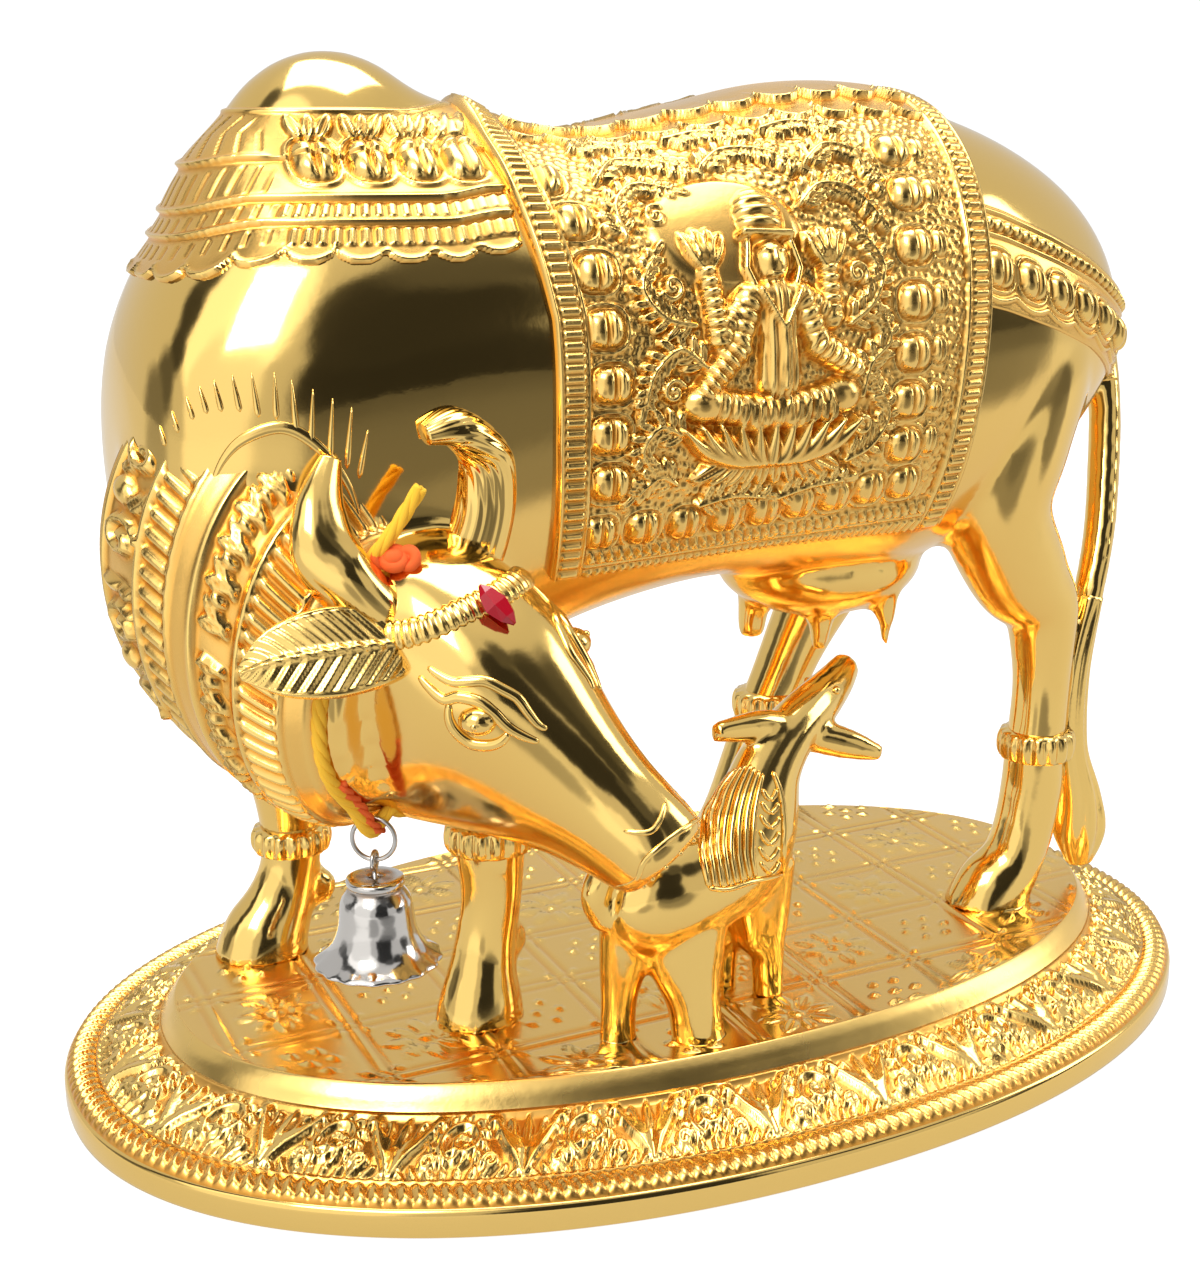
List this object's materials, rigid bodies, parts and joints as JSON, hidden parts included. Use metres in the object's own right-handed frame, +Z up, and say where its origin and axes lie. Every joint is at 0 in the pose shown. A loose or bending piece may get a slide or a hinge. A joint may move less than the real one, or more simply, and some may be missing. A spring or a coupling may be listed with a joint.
{
  "type": "cow and calf statue",
  "caption": "Gilt cast figure of a standing cow that turns her head to the calf beside her, on an oval plinth, with a carved blanket, a forehead stone and a small bell.",
  "frame": {"origin": "centre of the plinth's underside", "axes": "+X towards the cow's rump, -Y towards the side with the calf, +Z up"},
  "size_m": [0.14, 0.0922, 0.1122],
  "materials": {
    "gilt": "mirror-polished gold plating, more orange in the recesses",
    "stone": "faceted red paste stone, polished",
    "nickel": "polished, with brown specks near the rim",
    "steel_wire": "drawn wire, slightly dulled",
    "cotton": "twisted thread, yellow to orange"
  },
  "bodies": {
    "root": {"plinth": "gilt", "cow": "gilt", "calf": "gilt", "forehead_gem": "stone", "neck_thread": "cotton", "jump_ring": "steel_wire", "bell": "nickel", "bell_loop": "steel_wire", "bell_clapper": "nickel"}
  },
  "joints": []
}
